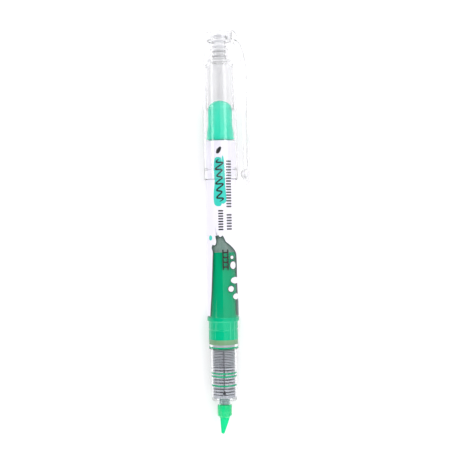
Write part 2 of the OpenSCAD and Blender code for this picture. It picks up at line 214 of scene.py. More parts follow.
def buildFibre():
    # bundled fibres that run along the pen
    group, given, out = newGroup(
        "fibreGrain",
        [("Color", "Color", (1, 1, 1, 1)), ("Dark", "Color", (0, 0, 0, 1)), ("Fibre Size", "Float", 0.12)],
        [("Color", "Color"), ("Height", "Float")],
    )
    perMm = mathNode(group, "DIVIDE", 1.0, given.outputs["Fibre Size"])
    strands = noiseIn(group, millimetres(group, (1, 14, 1)), perMm, 3.0, 0.65)
    tufts = noiseIn(group, millimetres(group, (1, 2, 1)), 2.2, 3.0)
    both = mathNode(group, "ADD", strands, mathNode(group, "MULTIPLY", tufts, 0.6))
    shade = rangeNode(group, both, 0.55, 1.05)
    blend = addNode(group, "Mix", data_type="RGBA")
    link(group, shade, blend.inputs["Factor"])
    link(group, given.outputs["Dark"], blend.inputs[6])
    link(group, given.outputs["Color"], blend.inputs[7])
    link(group, blend.outputs[2], out.inputs["Color"])
    link(group, strands, out.inputs["Height"])
    return group


mouldedSurface = buildMoulded()
colourDrift = buildDrift()
fibreGrain = buildFibre()


def newMaterial(name):
    material = bpy.data.materials.new(name)
    material.use_nodes = True
    tree = material.node_tree
    tree.nodes.clear()
    shader = addNode(tree, "BsdfPrincipled")
    output = addNode(tree, "OutputMaterial")
    link(tree, shader.outputs[0], output.inputs["Surface"])
    return material, tree, shader, output


def groupIn(tree, group, values):
    node = tree.nodes.new("ShaderNodeGroup")
    node.node_tree = group
    for key, value in values.items():
        node.inputs[key].default_value = value
    return node


def addBump(tree, shader, height, strength, depth):
    bump = addNode(tree, "Bump", {"Strength": strength, "Distance": depth * mm})
    link(tree, height, bump.inputs["Height"])
    link(tree, bump.outputs["Normal"], shader.inputs["Normal"])


def mould(tree, shader, look):
    surface = groupIn(tree, mouldedSurface, {
        "Roughness": look["roughness"], "Wear": look["wear"], "Wave Size": look["waveSize"],
    })
    link(tree, surface.outputs["Roughness"], shader.inputs["Roughness"])
    addBump(tree, shader, surface.outputs["Height"], look["bump"], look["bumpDepth"])


def clearPlastic(name, look):
    material, tree, shader, output = newMaterial(name)
    shader.inputs["Base Color"].default_value = (*look["tint"], 1)
    shader.inputs["Transmission Weight"].default_value = 1
    shader.inputs["IOR"].default_value = look["ior"]
    mould(tree, shader, look)
    # light for the pieces inside passes straight through, as it nearly does in thin walls
    path = addNode(tree, "LightPath")
    passing = addNode(tree, "BsdfTransparent")
    passing.inputs["Color"].default_value = (*look["shadow"], 1)
    choice = addNode(tree, "MixShader")
    link(tree, path.outputs["Is Shadow Ray"], choice.inputs[0])
    link(tree, shader.outputs[0], choice.inputs[1])
    link(tree, passing.outputs[0], choice.inputs[2])
    link(tree, choice.outputs[0], output.inputs["Surface"])
    return material


def solidPlastic(name, look):
    material, tree, shader, output = newMaterial(name)
    drift = groupIn(tree, colourDrift, {
        "Color": (*look["color"], 1), "Second": (*look["second"], 1),
        "Size": look["driftSize"], "Amount": look["drift"],
    })
    link(tree, drift.outputs["Color"], shader.inputs["Base Color"])
    mould(tree, shader, look)
    shader.inputs["Specular IOR Level"].default_value = look["specular"]
    return material


def fibreMaterial(name, look):
    material, tree, shader, output = newMaterial(name)
    grain = groupIn(tree, fibreGrain, {
        "Color": (*look["color"], 1), "Dark": (*look["dark"], 1), "Fibre Size": look["fibre"],
    })
    link(tree, grain.outputs["Color"], shader.inputs["Base Color"])
    shader.inputs["Roughness"].default_value = look["roughness"]
    shader.inputs["Specular IOR Level"].default_value = look["specular"]
    addBump(tree, shader, grain.outputs["Height"], look["bump"], look["bumpDepth"])
    return material


clearBase = {
    "tint": (0.993, 0.993, 1.0), "ior": 1.49, "roughness": 0.02, "wear": 0.25, "waveSize": 5.0,
    "bump": 0.15, "bumpDepth": 0.05, "shadow": (0.994, 0.994, 0.997),
}
solidBase = {
    "color": (0.8, 0.8, 0.8), "second": (0.7, 0.7, 0.7), "driftSize": 3.0, "drift": 0.3,
    "roughness": 0.35, "wear": 0.3, "waveSize": 2.0, "bump": 0.2, "bumpDepth": 0.05, "specular": 0.5,
}
inkBase = {**solidBase, "specular": 0.0, "bump": 0.0}
clearLooks = {
    "capClear": {**clearBase, "ior": 1.47},
    "innerCapClear": {**clearBase, "tint": (1.0, 1.0, 1.0), "roughness": 0.02, "ior": 1.2},
    "barrelClear": {**clearBase},
    "housingClear": {**clearBase, "ior": 1.4},
    # darker smoky clear plastic: painted shade for the dark bars on the stem's ribs
    "ribSmoke": {**clearBase, "tint": (0.7, 0.7, 0.74), "roughness": 0.08},
    "holderTint": {**clearBase, "tint": (0.85, 1.0, 0.95), "shadow": (0.9, 1.0, 0.97), "roughness": 0.06},
}
solidLooks = {
    "inkGreen": {**inkBase, "color": (0.0, 0.43, 0.205), "second": (0.0, 0.38, 0.175), "driftSize": 5.0,
                 "drift": 0.5},
    "inkThin": {**inkBase, "color": (0.002, 0.53, 0.27), "second": (0.0, 0.49, 0.24), "driftSize": 4.0,
                "drift": 0.6},
    # paler ink: a painted highlight for the light lines on the seat
    "inkPale": {**inkBase, "color": (0.06, 0.64, 0.37), "second": (0.03, 0.58, 0.32), "driftSize": 1.5,
                "drift": 0.9},
    # dark grey-green: part ink smear, part painted shade
    "inkResidue": {**inkBase, "color": (0.30, 0.39, 0.36), "second": (0.13, 0.25, 0.21), "driftSize": 1.6,
                   "drift": 0.7, "bump": 0.2},
    "sealTan": {**solidBase, "color": (0.23, 0.41, 0.23), "second": (0.17, 0.38, 0.22), "specular": 0.1},
    "feederGrey": {**solidBase, "color": (0.40, 0.40, 0.45), "second": (0.31, 0.37, 0.39), "driftSize": 2.0,
                   "drift": 0.6, "roughness": 0.45},
    "plugGreen": {**solidBase, "color": (0.025, 0.66, 0.44), "second": (0.015, 0.58, 0.38), "roughness": 0.2,
                  "specular": 0.3},
    "filmWhite": {**solidBase, "color": (0.82, 0.795, 0.88), "second": (0.8, 0.775, 0.87), "driftSize": 6.0,
                  "roughness": 0.28, "bump": 0.1},
    "printBlack": {**solidBase, "color": (0.012, 0.012, 0.014), "second": (0.02, 0.02, 0.022)},
    "printGrey": {**solidBase, "color": (0.07, 0.07, 0.08), "second": (0.1, 0.1, 0.11)},
    "printTeal": {**solidBase, "color": (0.021, 0.55, 0.46), "second": (0.05, 0.6, 0.52), "drift": 0.6},
    # near-black green for the window's edges: painted shade, not print
    "printRim": {**solidBase, "color": (0.03, 0.075, 0.06), "second": (0.05, 0.1, 0.09)},
}
fibreLooks = {
    "nibFelt": {"color": (0.012, 0.8, 0.33), "dark": (0.003, 0.6, 0.22), "fibre": 0.1, "roughness": 0.8,
                "specular": 0.2, "bump": 0.5, "bumpDepth": 0.06},
    "wickFelt": {"color": (0.02, 0.42, 0.2), "dark": (0.0, 0.28, 0.12), "fibre": 0.08, "roughness": 0.85,
                 "specular": 0.2, "bump": 0.5, "bumpDepth": 0.05},
}
finish = {}
for make, looks in ((clearPlastic, clearLooks), (solidPlastic, solidLooks), (fibreMaterial, fibreLooks)):
    for name, look in looks.items():
        finish[name] = make(name, look)
print("materials ready")


def objectFrom(bm, name):
    bmesh.ops.recalc_face_normals(bm, faces=bm.faces)
    mesh = bpy.data.meshes.new(name)
    bm.to_mesh(mesh)
    bm.free()
    made = bpy.data.objects.new(name, mesh)
    bpy.context.scene.collection.objects.link(made)
    return made


def addPiece(name, bm, body, material, replaced=(), sharp=35):
    piece = objectFrom(bm, name)
    for polygon in piece.data.polygons:
        polygon.use_smooth = True
    piece.data.set_sharp_from_angle(angle=math.radians(sharp))
    piece.data.materials.append(material)
    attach(piece, body)
    if replaced:
        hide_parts(*replaced)
    return piece


def filleted(outline, steps=5):
    # a point is (radius, height), or (radius, height, fillet) to round its corner
    rounded = []
    for i, point in enumerate(outline):
        here = Vector(point[:2])
        if len(point) < 3:
            rounded.append(here)
            continue
        back = Vector(outline[i - 1][:2]) - here
        ahead = Vector(outline[(i + 1) % len(outline)][:2]) - here
        run = point[2] / math.tan(back.angle(ahead) / 2)
        run = min(run, 0.48 * back.length, 0.48 * ahead.length)
        start, end = here + back.normalized() * run, here + ahead.normalized() * run
        for k in range(steps + 1):
            t = k / steps
            rounded.append(start * (1 - t) ** 2 + here * 2 * t * (1 - t) + end * t * t)
    return rounded


def evenAngles(count=144):
    return [math.tau * k / count for k in range(count)]


def lathe(bm, outline, angles=None, limit=None):
    # turns a closed outline round the axis; limit can hold points in at some angles
    angles = angles or evenAngles()
    rings = []
    for radius, height in filleted(outline):
        if radius < 1e-6:
            rings.append([bm.verts.new(place(0, 0, height))])
            continue
        rings.append([
            bm.verts.new(place(limit(radius, a, height) if limit else radius, a, height)) for a in angles
        ])
    count = len(angles)
    for one, two in zip(rings, rings[1:] + rings[:1]):
        if len(one) == 1 and len(two) == 1:
            continue
        for k in range(count):
            n = (k + 1) % count
            corners = []
            for ring, at in ((one, k), (one, n), (two, n), (two, k)):
                vertex = ring[at % len(ring)]
                if vertex not in corners:
                    corners.append(vertex)
            bm.faces.new(corners)
    return bm


def skinned(bm, rings):
    # joins rings with the same number of points and closes both ends
    count = len(rings[0])
    for one, two in zip(rings, rings[1:]):
        for k in range(count):
            n = (k + 1) % count
            bm.faces.new((one[k], one[n], two[n], two[k]))
    bm.faces.new(rings[0])
    bm.faces.new(rings[-1])


def turned(name, outline, body, slot, material, replaced=(), **options):
    return addPiece(name, lathe(bmesh.new(), outline, **options), body, material, replaced)


def smoothLine(points, per=8, closed=False):
    # a Catmull-Rom line through the points
    count = len(points)
    line = []
    for i in range(count if closed else count - 1):
        near = [i + k for k in (-1, 0, 1, 2)]
        near = [k % count if closed else min(max(k, 0), count - 1) for k in near]
        a, b, c, d = (points[k] for k in near)
        for k in range(per):
            t = k / per
            line.append(tuple(
                0.5 * (2 * b[j] + (c[j] - a[j]) * t + (2 * a[j] - 5 * b[j] + 4 * c[j] - d[j]) * t * t
                       + (3 * b[j] - a[j] - 3 * c[j] + d[j]) * t ** 3)
                for j in range(2)
            ))
    if not closed:
        line.append(tuple(points[-1]))
    return line


# nib: a round fibre rod cut to a slanted chisel
nib = {
    "radius": 1.8, "out": 6.1, "edgeLeft": -1.373, "edgeRight": -0.273, "steep": 4.0, "face": 21.0,
    "slant": 14.0, "hidden": 2.05, "softness": 14, "tipRound": 0.22, "root": 4.3,
}


def buildNib():
    bm = bmesh.new()
    angles = evenAngles(72)
    heights = [0.0, 0.06, 0.16, 0.32] + [0.6 + 0.25 * k for k in range(23)] + [
        nib["out"] + 0.6, nib["out"] + nib["root"],
    ]
    rings = []
    for height in heights:
        left = nib["edgeLeft"] - height * math.tan(math.radians(nib["steep"]))
        right = nib["edgeRight"] + height * math.tan(math.radians(nib["face"]))
        radius = nib["radius"]
        if height > nib["out"] + 0.3:
            radius = nib["hidden"]
            left, right = -2 * radius, 2 * radius
        centre = (max(left, -radius) + min(right, radius)) / 2
        # the writing edge is rounded over
        shrink = 1 - nib["tipRound"] * max(0, 1 - height / 0.32) ** 2
        ring = []
        for a in angles:
            across, up = math.sin(a), math.cos(a)
            toCircle = -centre * across + math.sqrt(radius ** 2 - (centre * up) ** 2)
            reaches = [toCircle]
            if across > 1e-6:
                reaches.append((right - centre) / across)
            if across < -1e-6:
                reaches.append((left - centre) / across)
            soft = sum(r ** -nib["softness"] for r in reaches) ** (-1 / nib["softness"])
            x, y = centre + soft * across * shrink, soft * up * mix(1, shrink, 0.5)
            # the cut slants away from the camera's side
            slope = (nib["radius"] - y) * math.tan(math.radians(nib["slant"]))
            z = height + slope * max(0, 1 - height / nib["out"])
            ring.append(bm.verts.new((axisX + x * mm, tipY + z * mm, axisZ + y * mm)))
        rings.append(ring)
    skinned(bm, rings)
    addPiece("nib_felt", bm, "pen", finish["nibFelt"], ["nib"], sharp=50)


buildNib()

# clear tube that holds the nib, with its thin neck
holder = {"bore": 2.03, "outer": 2.7, "neck": 2.15, "length": 4.6, "edge": 0.3}
neckFront = holderFront + holder["length"]
turned("nib_tube", [
    (holder["bore"], holderFront, 0.12),
    (holder["outer"], holderFront, holder["edge"]),
    (holder["outer"], neckFront, 0.25),
    (holder["neck"], neckFront, 0.1),
    (holder["neck"], holderBack),
    (holder["bore"], holderBack),
], "pen", "nib_holder", finish["holderTint"], ["nib_holder"])

# comb feeder with a slot along its upper side
comb = {
    "fin": 4.22, "core": 2.2, "wick": 0.87, "frontPlate": 1.2, "window": 1.5, "coarse": 8,
    "coarsePitch": 1.14, "coarseFin": 0.6, "leadFins": 1, "fine": 11, "finePitch": 0.6, "fineFin": 0.3,
    "slotHalf": 3.6, "slotFloor": 3.3, "riser": 2.95, "riserBore": 2.15, "edge": 0.06,
    "nose": 1.9, "noseLong": 2.6, "noseFloor": 0.1, "neckGap": 0.02, "plateGap": 0.6, "windowHalf": 9.0,
    "windowFloor": 0.95, "windowLead": 0.1, "windowTail": 0.3, "slotLead": 0.15, "slotTail": 0.1,
}
coreFront = feederFront + comb["frontPlate"]
combFront = coreFront + comb["window"]
fineFront = combFront + comb["coarse"] * comb["coarsePitch"]
combBack = fineFront + comb["fine"] * comb["finePitch"]


def combOutline():
    fin, core, edge = comb["fin"], comb["core"], comb["edge"]
    neckSeat = holder["neck"] + comb["neckGap"]
    outline = [
        (neckSeat, feederFront), (fin, feederFront, 0.15), (fin, coreFront, 0.1),
        (core, coreFront, 0.1),
    ]
    coarse = range(-comb["leadFins"], comb["coarse"])
    fins = [(combFront + i * comb["coarsePitch"], comb["coarseFin"]) for i in coarse]
    fins += [(fineFront + i * comb["finePitch"], comb["fineFin"]) for i in range(comb["fine"])]
    for front, thick in fins:
        outline += [(core, front), (fin, front, edge), (fin, front + thick, edge), (core, front + thick)]
    outline += [
        (core, combBack + comb["plateGap"]), (fin, combBack + comb["plateGap"], edge), (fin, sealFront),
        (comb["riser"], sealFront),
        (comb["riser"], riserEnd, 0.15), (comb["riserBore"], riserEnd, 0.1), (comb["riserBore"], sealFront),
        (comb["wick"], sealFront), (comb["wick"], feederFront - comb["noseLong"], 0.2),
        (comb["nose"], feederFront - comb["noseLong"], 0.3), (comb["nose"], coreFront - comb["noseFloor"]),
        (neckSeat, coreFront - comb["noseFloor"]),
    ]
    return outline


def combLimit(radius, angle, height):
    turn = math.degrees(math.remainder(angle, math.tau))
    inWindow = coreFront + comb["windowLead"] < height < combFront - comb["windowTail"]
    inSlot = combFront - comb["slotLead"] < height < combBack + comb["slotTail"]
    if inWindow and abs(turn) < comb["windowHalf"]:
        return min(radius, comb["windowFloor"])
    if inSlot and abs(turn) < comb["slotHalf"]:
        return min(radius, comb["slotFloor"])
    return radius


# points crowd at the sides of the slot and the window, so that their walls are upright
half, wide = math.radians(comb["slotHalf"]), math.radians(comb["windowHalf"])
slotAngles = sorted(set(
    [a for a in evenAngles(120) if abs(math.remainder(a, math.tau)) > wide + 0.02]
    + [side * a % math.tau for side in (-1, 1) for a in (
        0, half / 2, half - 0.004, half + 0.004, (half + wide) / 2, wide - 0.004, wide + 0.004)]
))
turned(
    "comb_feeder", combOutline(), "pen", "feeder", finish["feederGrey"], ["feeder"],
    angles=slotAngles, limit=combLimit,
)

# ink that wets the housing between some of the fins
rings = {"bore": 4.3, "soak": 0.03, "after": [1, 4, 5], "gap": 0.01, "round": 0.05}
bm = bmesh.new()
wetGaps = [
    (combFront + i * comb["coarsePitch"] + comb["coarseFin"], comb["coarsePitch"] - comb["coarseFin"])
    for i in rings["after"]
] + [(combBack, comb["plateGap"])]
wet = rings["bore"] + rings["soak"]
for front, thick in wetGaps:
    low, high = front + rings["gap"], front + thick - rings["gap"]
    lathe(bm, [
        (comb["core"], low), (wet, low, rings["round"]), (wet, high, rings["round"]), (comb["core"], high),
    ], angles=slotAngles)
addPiece("ink_between_fins", bm, "pen", finish["inkGreen"], ["ink_rings"])

# wick in the middle of the comb keeps its shape and gets a fibre finish
for slot in frame["nodes"]["feed_wick"].material_slots:
    slot.material = finish["wickFelt"]

# clear front housing with the cap seat and flange
housing = {
    "bore": 4.3, "front": 4.7, "back": 4.9, "seat": 5.5, "seatBore": 4.8, "seatLead": 1.7,
    "grooveAt": 5.4, "grooveWide": 0.6, "grooveDeep": 0.25, "flange": 6.0, "flangeLong": 1.5,
    "sealPlug": 0.9, "neckGap": 0.04,
}
flangeFront = flangeBack - housing["flangeLong"]
stepFront = sealFront - housing["seatLead"]
grooveFront = sealFront + housing["grooveAt"]
grooveBack = grooveFront + housing["grooveWide"]
neckHole = holder["neck"] + housing["neckGap"]
turned("front_housing", [
    (neckHole, housingFront, 0.1),
    (housing["front"], housingFront, 0.12),
    (housing["back"], stepFront, 0.15),
    (housing["seat"], stepFront, 0.3),
    (housing["seat"], grooveFront, 0.08),
    (housing["seat"] - housing["grooveDeep"], grooveFront, 0.1),
    (housing["seat"] - housing["grooveDeep"], grooveBack, 0.1),
    (housing["seat"], grooveBack, 0.08),
    (housing["seat"], flangeFront, 0.1),
    (housing["flange"], flangeFront, 0.15),
    (housing["flange"], flangeBack, 0.15),
    (housing["seatBore"], flangeBack),
    (housing["seatBore"], sealFront + housing["sealPlug"]),
    (housing["bore"], sealFront + housing["sealPlug"]),
    (housing["bore"], feederFront, 0.15),
    (neckHole, feederFront),
], "pen", "section", finish["housingClear"], ["section"])

# rubber seal under the tank, pressed into the housing
soak = 0.02
wetBore = housing["seatBore"] + soak
turned("tank_gasket", [
    (comb["riser"], sealFront + 0.02),
    (housing["bore"] + soak, sealFront + 0.02, 0.1),
    (housing["bore"] + soak, sealFront + housing["sealPlug"]),
    (wetBore, sealFront + housing["sealPlug"] + 0.02),
    (wetBore, sealBack, 0.1),
    (comb["riser"], sealBack),
], "pen", "tank_seal", finish["sealTan"], ["tank_seal"])

# clear barrel with its spigot
barrel = {"front": 5.8, "back": 5.45, "wall": 0.8, "spigot": 4.77, "spigotBore": 4.2}


def barrelAt(height):
    share = (height - flangeBack) / (barrelBack - flangeBack)
    return mix(barrel["front"], barrel["back"], share)


# length of one degree round the barrel's front edge
arc = math.radians(1) * barrel["front"]


turned("barrel_tube", [
    (barrel["spigotBore"], spigotFront, 0.1),
    (barrel["spigot"], spigotFront, 0.1),
    (barrel["spigot"], flangeBack + 0.004),
    (barrel["front"], flangeBack + 0.004, 0.03),
    (barrel["back"], barrelBack, 0.15),
    (barrel["back"] - barrel["wall"], barrelBack, 0.1),
    (barrelAt(flangeBack) - barrel["wall"], flangeBack + 0.35, 0.2),
    (barrel["spigotBore"], flangeBack + 0.25, 0.2),
], "pen", "barrel", finish["barrelClear"], ["barrel"])

# liquid ink: it wets the walls round it, so it is drawn a hair into them
liquid = {"meniscus": 0.5, "soak": 0.03}
# painted highlights on the skin of ink behind the seat: paler bands where the flange's rim, the seat's groove
# and upright streaks catch light, by degrees from straight up
skin = {
    "lines": [42.05, 41.75, 39.0, 38.6],
    "highlightStreaks": [(-38, -35), (31, 35), (-70, -62), (50, 57)],
    "grooveHighlightArcs": [(-75, -17), (5, 28), (40, 60)],
}
wall = liquid["soak"] - barrel["wall"]
inkPiece = turned("ink_liquid", [
    (0, inkTop - liquid["meniscus"]),
    (3.6, inkTop - liquid["meniscus"] * 0.9),
    (4.5, inkTop - liquid["meniscus"] * 0.5),
    (barrelAt(inkTop) + wall, inkTop),
    (barrelAt(flangeBack) + wall, flangeBack + 0.03),
    (wetBore, flangeBack - 0.02),
    *[(wetBore, height) for height in skin["lines"]],
    (wetBore, sealBack + 0.01),
    (comb["riser"] + 0.01, sealBack + 0.01),
    (comb["riser"] + 0.01, riserEnd + 0.01),
    (0, riserEnd + 0.01),
], "pen", "ink", finish["inkGreen"], ["ink"])
inkPiece.data.materials.append(finish["inkThin"])
inkPiece.data.materials.append(finish["inkPale"])
rimBack, rimFlange, grooveEnd, grooveStart = skin["lines"]
# the paler ink on the rim, the groove and the streaks is a painted highlight
for polygon in inkPiece.data.polygons:
    height = (polygon.center.y - tipY) / mm
    turn = math.degrees(math.atan2(polygon.center.x - axisX, polygon.center.z - axisZ))
    if height > flangeBack + 0.02:
        continue
    highlightStreak = height < rimBack and any(low < turn < high for low, high in skin["highlightStreaks"])
    rimHighlight = rimFlange < height < rimBack
    inArc = any(low < turn < high for low, high in skin["grooveHighlightArcs"])
    grooveHighlight = grooveStart < height < grooveEnd and inArc
    polygon.material_index = 2 if highlightStreak or rimHighlight or grooveHighlight else 1

# skin of ink left on the bore above the liquid, drawn dark grey-green: partly a real smear of ink, partly
# painted shade for the dim inside of the label seen through the empty barrel
residueAndShade = {"from": 0.02, "long": 7.6, "thick": 0.05}
residueFront, residueBack = inkTop + residueAndShade["from"], inkTop + residueAndShade["long"]
turned("ink_smear_and_shade", [
    (barrelAt(residueFront) + wall - residueAndShade["thick"], residueFront),
    (barrelAt(residueFront) + wall, residueFront),
    (barrelAt(residueBack) + wall, residueBack),
    (barrelAt(residueBack) + wall - residueAndShade["thick"], residueBack),
], "pen", "ink", finish["inkResidue"])
print("nib, feeder, housing, barrel and ink built")


# printed film: outlines are drawn flat as [degrees round the barrel, height], filled, then wrapped
def wrapped(bm, points, low, high, faces=None, cell=0.5):
    sheet = bmesh.new()
    corners = [sheet.verts.new((a * arc, z, 0)) for a, z in points]
    for face in faces or [range(len(points))]:
        sheet.faces.new([corners[k] for k in face])
    bmesh.ops.triangulate(sheet, faces=sheet.faces[:])
    left, right = min(v.co.x for v in sheet.verts), max(v.co.x for v in sheet.verts)
    for k in range(1, int((right - left) / cell) + 1):
        bmesh.ops.bisect_plane(
            sheet, geom=sheet.verts[:] + sheet.edges[:] + sheet.faces[:], dist=1e-5,
            plane_co=(left + k * cell, 0, 0), plane_no=(1, 0, 0),
        )
    top = bmesh.ops.extrude_face_region(sheet, geom=sheet.faces[:], use_keep_orig=True)
    raised = {v for v in top["geom"] if isinstance(v, bmesh.types.BMVert)}
    copies = {}
    for vertex in sheet.verts:
        lift = high if vertex in raised else low
        angle, height = vertex.co.x / barrel["front"], vertex.co.y
        copies[vertex] = bm.verts.new(place(barrelAt(height) + lift, angle, height))
    for face in sheet.faces:
        bm.faces.new([copies[v] for v in face.verts])
    sheet.free()


def ellipse(angle, height, across, along, count=28):
    return [
        (angle + across / arc * math.cos(turn), height + along * math.sin(turn))
        for turn in evenAngles(count)
    ]


def sides(line):
    # points of a [degrees, height] line in mm, each with the direction square to the line there
    flat = [Vector((a * arc, z)) for a, z in line]
    pairs = []
    for before, here, after in zip(flat[:1] + flat, flat, flat[1:] + flat[-1:]):
        along = (after - before).normalized()
        pairs.append((here, Vector((along.y, -along.x))))
    return pairs


def inset(line, gap, nearest=0.93):
    # moves a line sideways and drops what falls too near to it
    pairs = sides(line)
    moved = []
    for here, side in pairs:
        point = here + side * gap
        if min((point - pair[0]).length for pair in pairs) > nearest * gap:
            moved.append((point.x / arc, point.y))
    return moved


film = {
    "inner": -0.01, "outer": 0.06, "seam": 180.0, "overlap": 14.0, "seamHigh": 0.02, "dotHigh": 0.005,
    "shadeRimWide": 0.38, "dotShadeRim": 0.22, "shadeRimUnder": 0.01, "shadeUnder": 0.012,
    "windowEdge": [
        (-55, 42.6), (-54, 44.6), (-50.5, 48.5), (-45.5, 53.5), (-41, 60.5), (-38.5, 65.5), (-37.5, 68.0),
        (-42, 69.3), (-37.5, 70.5), (-27, 70.4), (-21.8, 71.6), (-25, 73.4), (-31.5, 75.3), (-30, 76.9),
        (-25, 77.1), (-20, 76.1), (-13, 74.1), (-6, 73.4), (2.5, 73.9), (9, 72.9), (15, 71.7), (25, 70.9),
        (40, 69.7), (57, 68.2), (67, 66.6), (70.5, 63), (69.5, 58), (71, 54), (78, 51), (90, 48), (98, 45),
        (100, 42.6),
    ],
    "dots": [(39, 65.8, 0.7, 0.6), (44, 62.9, 1.35, 1.4), (33, 54.2, 1.2, 1.05)],
    "lobes": [(55, 57.3, 2.3, 1.2), (60, 51.3, 1.9, 1.1)],
    "drop": (-48, 73.1, 0.9, 0.95),
    # outline of a painted shade patch along the window's right side
    "shade": [
        (59, 44.4), (57, 48), (56, 50.2), (62, 53.8), (60, 56), (61, 59), (57, 62), (56, 65),
        (62, 66.3), (74, 65), (74, 58), (74, 53), (84, 49), (98, 46), (98, 44.4),
    ],
}
windowLine = smoothLine(film["windowEdge"], 6)
windowLine = [p for p in windowLine if p[1] > filmFront]
windowLine[0] = (windowLine[0][0], filmFront)
windowLine[-1] = (windowLine[-1][0], filmFront)
edge = film["seam"]
bm = bmesh.new()
wrapped(bm, [
    (-edge, filmFront), *windowLine, (edge, filmFront), (edge, filmBack), (-edge, filmBack),
], film["inner"], film["outer"])
for dot in film["dots"] + film["lobes"]:
    wrapped(bm, ellipse(*dot), film["inner"], film["outer"] + film["dotHigh"])
lap = edge + film["overlap"]
wrapped(bm, [
    (edge, filmFront), (lap, filmFront), (lap, filmBack), (edge, filmBack),
], film["outer"] - film["dotHigh"], film["outer"] + film["seamHigh"])
addPiece("label_sleeve", bm, "pen", finish["filmWhite"], ["label_film"])

# dark band round the window's edge and round the clear dots, and a dark patch at the window's right side:
# painted shade where the barrel's inside looks darker at the edges
bm = bmesh.new()
shadeRimLine = inset(windowLine, film["shadeRimWide"])
shadeRimHigh = film["outer"] - film["shadeRimUnder"]
wrapped(bm, [*windowLine, *reversed(shadeRimLine)], film["inner"] - 0.002, shadeRimHigh)
for angle, height, across, along in film["dots"]:
    grown = ellipse(angle, height, across + film["dotShadeRim"], along + film["dotShadeRim"])
    wrapped(bm, grown, film["inner"], shadeRimHigh)
shade = smoothLine(film["shade"], 5, closed=True)
wrapped(bm, shade, film["inner"] - 0.001, film["outer"] - film["shadeUnder"])
addPiece("window_painted_shade", bm, "pen", finish["printRim"])
print("label film built")

# plain print on the film: bars, dashes, a swipe of colour with a wave over it
printed = {
    "low": 0.055, "high": 0.072, "topHigh": 0.08,
    "ladder": {"from": 61.2, "to": 68.8, "rails": [3, 21.5], "rail": 0.5, "rungs": 4, "angle": 12.3,
               "wide": 1.7, "rung": 0.52, "low": -0.01, "high": 0.06, "rungThinner": 0.002},
    "blocks": {"from": 75.9, "pitch": 0.98, "count": 8, "skip": [], "angle": -3, "wide": 1.9, "long": 0.56},
    "dashes": {"from": 76.0, "pitch": 1.04, "count": 25, "skip": [6, 7], "angle": 30, "wide": 2.2,
               "long": 0.62},
    "swipes": [
        [(-26, 85.4), (-4, 84.8), (3, 86.5), (4, 91), (2, 96), (3, 101.6), (-4, 102.8), (-22, 102.4),
         (-27, 99), (-25, 94), (-30, 89)],
        [(0, 86.6), (12, 85.8), (20, 87.2), (17, 91.5), (15, 97), (11, 102.5), (4, 102.6), (2, 95)],
    ],
    "wave": {"from": 86.4, "to": 102.2, "turns": 6, "angle": -6, "swing": 1.45, "slant": 0.35, "wide": 0.58,
             "points": 160},
    "mark": [(-17, 104.4), (-9, 104.2), (-2, 104.9), (3, 106.2), (-2, 106.7), (-9, 106.2), (-15, 105.6)],
}


def rectangle(angle, front, wide, long):
    a = wide / 2 / arc
    corner = min(0.12, 0.3 * min(wide, long))
    c = corner / arc
    return [
        (angle - a + c, front), (angle + a - c, front), (angle + a, front + corner),
        (angle + a, front + long - corner), (angle + a - c, front + long), (angle - a + c, front + long),
        (angle - a, front + long - corner), (angle - a, front + corner),
    ]


def barRow(bm, row):
    for k in range(row["count"]):
        if k not in row["skip"]:
            bar = rectangle(row["angle"], row["from"] + k * row["pitch"], row["wide"], row["long"])
            wrapped(bm, bar, printed["low"], printed["high"])


def ribbon(bm, line, wide, low, high):
    points = []
    last = len(line) - 1
    for i, (here, side) in enumerate(sides(line)):
        # the stroke thins at both ends
        share = min(1, 0.25 + min(i, last - i) / 6)
        for sign in (1, -1):
            point = here + side * wide / 2 * share * sign
            points.append((point.x / arc, point.y))
    faces = [(2 * k, 2 * k + 1, 2 * k + 3, 2 * k + 2) for k in range(last)]
    wrapped(bm, points, low, high, faces)


bm = bmesh.new()
ladder = printed["ladder"]
for angle in ladder["rails"]:
    rail = rectangle(angle, ladder["from"], ladder["rail"], ladder["to"] - ladder["from"])
    wrapped(bm, rail, ladder["low"], ladder["high"])
for k in range(ladder["rungs"]):
    front = mix(ladder["from"], ladder["to"] - ladder["rung"], (k + 0.5) / ladder["rungs"])
    rung = rectangle(ladder["angle"], front, ladder["wide"], ladder["rung"])
    wrapped(bm, rung, ladder["low"] + ladder["rungThinner"], ladder["high"] - ladder["rungThinner"])
barRow(bm, printed["blocks"])
wave = printed["wave"]
waveLine = []
for k in range(wave["points"] + 1):
    t = k / wave["points"]
    turn = math.tau * wave["turns"] * t
    swing = wave["swing"] * (0.8 + 0.2 * math.cos(turn * 0.4)) * math.sin(turn)
    waveLine.append((wave["angle"] + swing / arc, mix(wave["from"], wave["to"], t) + wave["slant"] * swing))
ribbon(bm, waveLine, wave["wide"], printed["high"] - 0.005, printed["topHigh"])
wrapped(bm, smoothLine(printed["mark"], 4, closed=True), printed["low"], printed["high"])
addPiece("print_dark", bm, "pen", finish["printBlack"])

bm = bmesh.new()
barRow(bm, printed["dashes"])
addPiece("print_dashes", bm, "pen", finish["printGrey"])

bm = bmesh.new()
for k, swipe in enumerate(printed["swipes"]):
    wrapped(bm, smoothLine(swipe, 5, closed=True), printed["low"], printed["high"] - 0.004 + 0.003 * k)
wrapped(bm, ellipse(*film["drop"]), printed["low"], printed["high"])
addPiece("print_swipe", bm, "pen", finish["printTeal"])
print("print built")

